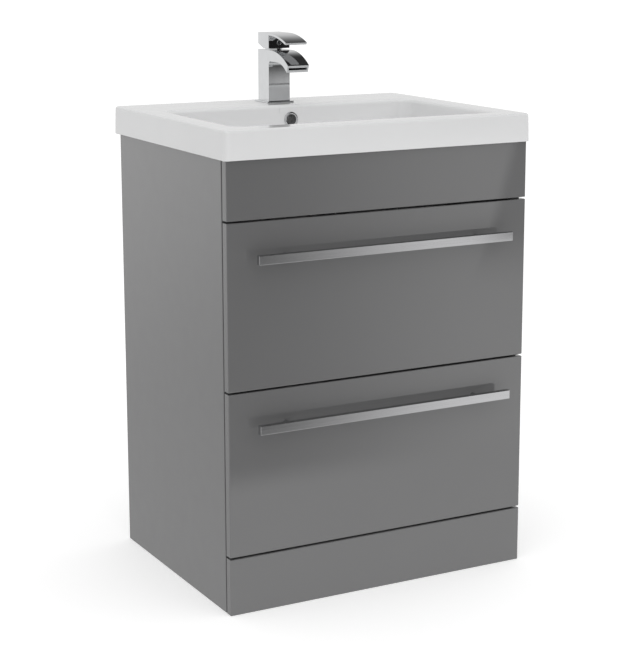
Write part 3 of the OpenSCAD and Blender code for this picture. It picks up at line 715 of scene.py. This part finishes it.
def make_tap_lever():
    low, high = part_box("tap_lever")
    column_low, column_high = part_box("tap_body")
    front_y = column_high.y - (column_high.x - column_low.x)
    middle_y = (front_y + column_high.y) / 2
    centre, radius, end = crest(front_y, high.z, front_y - low.y, LEVER_DROP)
    outline = [(high.y, low.z + LEVER_BACK), (high.y, high.z)]
    outline += arc(centre, radius, 90, end, 28)
    outline += arc(centre, radius - LEVER_BLADE, end, 90, 28)
    outline += [(front_y, low.z), (middle_y + MM, low.z)]
    lever = prism("tap_lever_handle", outline, low.x, high.x, "tap_lever", "chrome", "tap_lever")
    pivot_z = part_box("tap_lever_pin")[0].z + PIN_R
    carve(lever, brick("hollow", (-HOLLOW_HALF_W, middle_y - HOLLOW_HALF_D, low.z - 3 * PAST),
                       (HOLLOW_HALF_W, middle_y + HOLLOW_HALF_D, pivot_z + HOLLOW_HALF_D)))
    round_edges(lever, 0.5 * MM)


def make_tap_indicator():
    low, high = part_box("tap_indicator")
    place = Matrix.Translation(((low.x + high.x) / 2, high.y, (low.z + high.z) / 2)) @ Matrix.Rotation(
        math.pi / 2, 4, "X")
    radius = (high.x - low.x) / 2
    raised = high.y - low.y
    inner = radius - 0.7 * MM
    outline = rounded([(inner, 0, 0), (radius, 0, 0), (radius, raised, 0.15 * MM),
                       (inner, raised, 0.15 * MM)], 3)
    lathe("tap_indicator_ring", outline, place, "tap_lever", "chrome", segments=48)
    disc_r = inner - 0.05 * MM
    disc = [(0, 0), (disc_r, 0), (disc_r, raised * 0.4), (0, raised * 0.5)]
    lathe("tap_indicator_disc", disc, place, "tap_lever", "dark_plastic", "tap_indicator", segments=48)


# ---- handles ----


def make_handle_bar(level):
    low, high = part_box(f"{level}_handle_bar")
    edge = 0.7 * MM
    corners = [(low.y, low.z, edge), (high.y, low.z, edge), (high.y, high.z, edge), (low.y, high.z, edge)]
    bar = prism(f"{level}_bar_handle", rounded(corners, 4), low.x, high.x, f"{level}_drawer", "satin_steel",
                f"{level}_handle_bar")
    round_edges(bar, 0.4 * MM, 2)


# ---- waste trap ----


def ribbed(obj, along, middle, outside, low, high, count, depth):
    """Presses shallow grip ribs into a turned nut on the middle plane x = 0.

    Its axis runs along coordinate along (1 or 2) at middle, and the ribs lie outside a radius."""
    other = 3 - along
    for v in obj.data.vertices:
        across = Vector((v.co.x, v.co[other] - middle))
        if not low < v.co[along] < high or across.length < outside:
            continue
        turn = math.atan2(across.y, across.x)
        shrink = 1 - depth * (0.5 + 0.5 * math.cos(turn * count)) / across.length
        v.co.x = across.x * shrink
        v.co[other] = middle + across.y * shrink


def nut_outline(inner, outer, length, ribs=5):
    """A collar with a plain flange at its foot and a slightly slimmer grip above it."""
    grip = outer - 1.2 * MM
    outline = [(inner, 0), (outer - 0.5 * MM, 0), (outer, 0.5 * MM), (outer, 3 * MM),
               (outer - 0.4 * MM, 3.6 * MM)]
    outline += [(grip, 4.2 * MM + (length - 6 * MM) * k / ribs) for k in range(ribs + 1)]
    return outline + [(grip - MM, length - 0.3 * MM), (inner + MM, length), (inner, length - MM)]


def make_trap():
    low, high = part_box("trap_nuts")
    cup_low, cup_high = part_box("trap_cup")
    body_low, body_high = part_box("trap_body")
    pipe_low, pipe_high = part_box("trap_outlet_pipe")
    waste_y = (cup_low.y + cup_high.y) / 2
    outlet_z = (pipe_low.z + pipe_high.z) / 2

    top_nut_z = body_high.z + 0.2 * MM
    nut = lathe("trap_inlet_nut", nut_outline(21.2 * MM, 27 * MM, 22 * MM), at(0, waste_y, top_nut_z),
                "carcass", "white_plastic", "trap_nuts", segments=144)
    ribbed(nut, 2, waste_y, 24 * MM, top_nut_z + 3.8 * MM, top_nut_z + 21 * MM, 24, 0.8 * MM)
    turned = at(0, pipe_low.y, outlet_z) @ Matrix.Rotation(-math.pi / 2, 4, "X")
    nut = lathe("trap_outlet_nut", nut_outline(16.2 * MM, 23 * MM, 18 * MM), turned, "carcass",
                "white_plastic", segments=144)
    ribbed(nut, 1, outlet_z, 20 * MM, pipe_low.y + 3.8 * MM, pipe_low.y + 17 * MM, 24, 0.8 * MM)

    cup_h = cup_high.z - cup_low.z
    outer = cup_high.x
    wall = 3 * MM
    outline = rounded([
        (0, 0, 0), (12 * MM, 0, MM), (14 * MM, 2 * MM, MM), (outer - 8 * MM, 2 * MM, 3 * MM),
        (outer - 1.4 * MM, 10 * MM, 4 * MM), (outer - 1.4 * MM, cup_h - 20 * MM, MM),
        (outer, cup_h - 18 * MM, 0.6 * MM), (outer, cup_h, 0.8 * MM), (26.2 * MM, cup_h, 0.4 * MM),
        (26.2 * MM, 12 * MM, 6 * MM), (18 * MM, 2 * MM + wall, 2 * MM), (0, 2 * MM + wall, 0)], 5)
    cup = lathe("trap_bottle_cup", outline, at(0, waste_y, cup_low.z), "carcass", "white_plastic",
                "trap_cup", segments=144)
    ribbed(cup, 2, waste_y, 29.5 * MM, cup_high.z - 17 * MM, cup_high.z - MM, 30, 0.7 * MM)


# ---- floor and light ----

FLOOR_RADIUS = 2.1
FLOOR_GLOW = 0.33
ROOM_BACK_LEFT = 1.0
ROOM_BACK_RIGHT = 0.72
ROOM_FRONT = 0.17
ROOM_RIGHT = 1.05
ROOM_FLOOR = 0.95
ROOM_OPEN = 0.65
CEILING = 0.04
EVEN_LOW = 0.36
EVEN_HIGH = 1.03
SUN = 0.22
BACKGROUND = 1.1


def make_floor():
    """A round pale floor. Past its edge the white world shows, so it has no visible end."""
    bm = bmesh.new()
    bmesh.ops.create_circle(bm, cap_ends=True, segments=128, radius=FLOOR_RADIUS)
    mesh = bpy.data.meshes.new("floor")
    bm.to_mesh(mesh)
    bm.free()
    floor = bpy.data.objects.new("floor", mesh)
    bpy.context.scene.collection.objects.link(floor)
    material = bpy.data.materials.new("floor")
    material.use_nodes = True
    shader = material.node_tree.nodes["Principled BSDF"]
    shader.inputs["Base Color"].default_value = (0.86, 0.86, 0.86, 1)
    shader.inputs["Roughness"].default_value = 0.9
    shader.inputs["Specular IOR Level"].default_value = 0.1
    shader.inputs["Emission Color"].default_value = (1, 1, 1, 1)
    shader.inputs["Emission Strength"].default_value = FLOOR_GLOW
    mesh.materials.append(material)
    floor.visible_glossy = False


class Sky:
    """The studio round the object: white behind it, and even light on it.

    Reflections see a room of their own, and nothing else does."""

    def __init__(self):
        self.world = bpy.data.worlds.new("studio")
        bpy.context.scene.world = self.world
        self.world.use_nodes = True
        self.tree = self.world.node_tree
        self.tree.nodes.clear()
        self.direction = self.tree.nodes.new("ShaderNodeTexCoord").outputs["Generated"]

    def ramp(self, axis, start, end, low, high):
        """A smooth change from low to high as the ray's direction turns along an axis."""
        dot = self.tree.nodes.new("ShaderNodeVectorMath")
        dot.operation = "DOT_PRODUCT"
        dot.inputs[1].default_value = Vector(axis).normalized()
        self.tree.links.new(self.direction, dot.inputs[0])
        made = self.tree.nodes.new("ShaderNodeMapRange")
        made.interpolation_type = "SMOOTHSTEP"
        for name, number in (("From Min", start), ("From Max", end), ("To Min", low), ("To Max", high)):
            made.inputs[name].default_value = number
        self.tree.links.new(dot.outputs["Value"], made.inputs["Value"])
        return made.outputs["Result"]

    def math(self, operation, first, second):
        made = self.tree.nodes.new("ShaderNodeMath")
        made.operation = operation
        self.tree.links.new(first, made.inputs[0])
        self.tree.links.new(second, made.inputs[1])
        return made.outputs[0]

    def blend(self, factor, first, second):
        made = self.tree.nodes.new("ShaderNodeMix")
        self.tree.links.new(factor, made.inputs["Factor"])
        for socket, value in ((made.inputs[2], first), (made.inputs[3], second)):
            if isinstance(value, float):
                socket.default_value = value
            else:
                self.tree.links.new(value, socket)
        return made.outputs[0]

    def light(self, strength):
        made = self.tree.nodes.new("ShaderNodeBackground")
        made.inputs["Color"].default_value = (1, 1, 1, 1)
        if isinstance(strength, float):
            made.inputs["Strength"].default_value = strength
        else:
            self.tree.links.new(strength, made.inputs["Strength"])
        return made.outputs[0]

    def choose(self, factor, first, second):
        made = self.tree.nodes.new("ShaderNodeMixShader")
        for socket, link in zip(made.inputs, (factor, first, second)):
            self.tree.links.new(link, socket)
        return made.outputs[0]


def make_world():
    sky = Sky()
    # Behind the object the room changes from left to right and is dimmer low down
    back_side = sky.ramp((1, 0.1, 0), -0.35, 0.35, ROOM_BACK_LEFT, ROOM_BACK_RIGHT)
    back = sky.math("MULTIPLY", back_side, sky.ramp((0, 0, 1), -0.27, -0.08, 0.60, 1.0))
    # In front it changes to a panel on the right, whose far edge shows only higher up
    right = sky.ramp((0.88, 0.47, 0.06), -0.06, 0.095, ROOM_FRONT, ROOM_RIGHT)
    right_end = sky.ramp((-0.785, -0.573, 0.24), -0.007, 0.001, 0.35, 1.0)
    below_end = sky.ramp((0, 0, 1), -0.20, -0.14, 1.0, 0.0)
    # Higher still, mostly where the tap looks, it grows brighter and then falls almost to black
    lift = sky.ramp((0, 0, 1), -0.105, -0.092, 1.0, 1.9)
    fall = sky.math("MULTIPLY", lift, sky.ramp((0, 0, 1), -0.083, -0.0703, 1.0, 0.09))
    above = sky.math("MULTIPLY", fall, sky.ramp((0, 0, 1), -0.068, -0.063, 1.0, 0.3))
    ahead = sky.math("MULTIPLY", right, sky.math("MAXIMUM", right_end, below_end))
    # The room has a floor, and is open and plain on the far right
    floor = sky.ramp((0.011, -0.328, 0.945), -0.009, 0.009, 1.0, 0.0)
    dark_side = sky.ramp((1, 0, 0), 0.27, 0.36, 0.0, 1.0)
    ahead = sky.blend(dark_side, ROOM_OPEN, sky.math("MULTIPLY", ahead, above))
    ahead = sky.blend(floor, ahead, ROOM_FLOOR)
    walls = sky.blend(sky.ramp((0, -1, 0), -0.35, 0.35, 0.0, 1.0), back, ahead)
    ceiling = sky.blend(dark_side, ROOM_OPEN, CEILING)
    room = sky.light(sky.blend(sky.ramp((0, 0, 1), 0.30, 0.75, 0.0, 1.0), walls, ceiling))
    # Even light for all but the reflections
    even = sky.light(sky.ramp((0.1, -0.3, 1), -0.2, 0.9, EVEN_LOW, EVEN_HIGH))
    rays = sky.tree.nodes.new("ShaderNodeLightPath")
    lit = sky.choose(rays.outputs["Is Glossy Ray"], even, room)
    shown = sky.choose(rays.outputs["Is Camera Ray"], lit, sky.light(BACKGROUND))
    output = sky.tree.nodes.new("ShaderNodeOutputWorld")
    sky.tree.links.new(shown, output.inputs["Surface"])


def make_sun():
    """A broad overhead light that gives the faint shadows below the basin's rim and the handles."""
    data = bpy.data.lights.new("overhead", "SUN")
    data.energy = SUN
    data.angle = math.radians(50)
    light = bpy.data.objects.new("overhead", data)
    light.rotation_euler = Vector((0.25, 0.45, -1)).to_track_quat("-Z", "Y").to_euler()
    light.visible_glossy = False
    bpy.context.scene.collection.objects.link(light)


dress_cad_nodes()
make_basin()
make_overflow_ring()
make_waste_plug()
make_tap_body()
make_tap_lever()
make_tap_indicator()
for level in ("upper", "lower"):
    make_handle_bar(level)
make_trap()
make_floor()
make_world()
make_sun()
